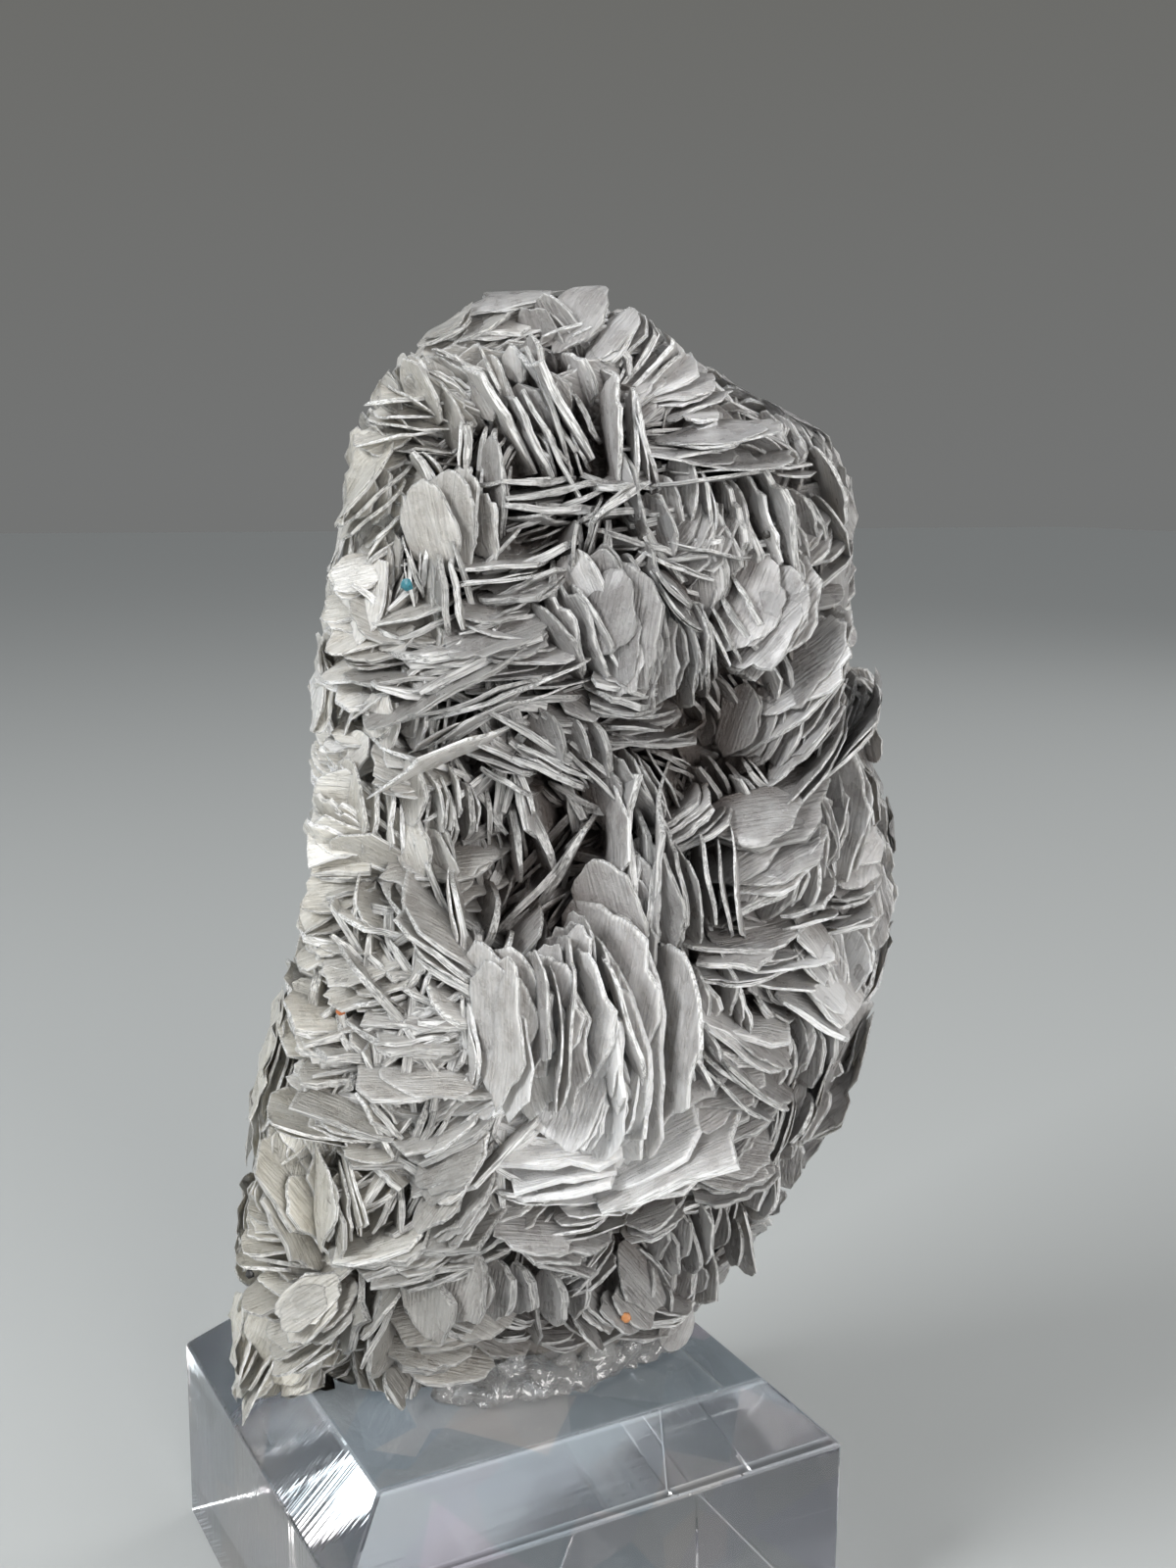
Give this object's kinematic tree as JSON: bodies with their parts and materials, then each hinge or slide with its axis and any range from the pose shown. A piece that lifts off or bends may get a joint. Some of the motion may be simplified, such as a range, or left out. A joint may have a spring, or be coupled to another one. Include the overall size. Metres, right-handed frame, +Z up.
{
  "type": "mica crystal",
  "caption": "Bladed mica cluster of thin rounded plates, standing on a clear bevelled acrylic block it is glued to.",
  "frame": {"origin": "middle of the block's flat foot", "axes": "+Z up; the block's front faces -Y and its sides face -X and +X; the cluster's broad front faces 28.5 degrees from -Y towards -X"},
  "size_m": [0.0591, 0.0537, 0.1252],
  "materials": {
    "mica": "pearly",
    "adhesive": "glossy",
    "acrylic": "polished"
  },
  "bodies": {
    "root": {"mica_cluster": "mica", "clear_adhesive": "adhesive", "acrylic_block": "acrylic"}
  },
  "joints": []
}
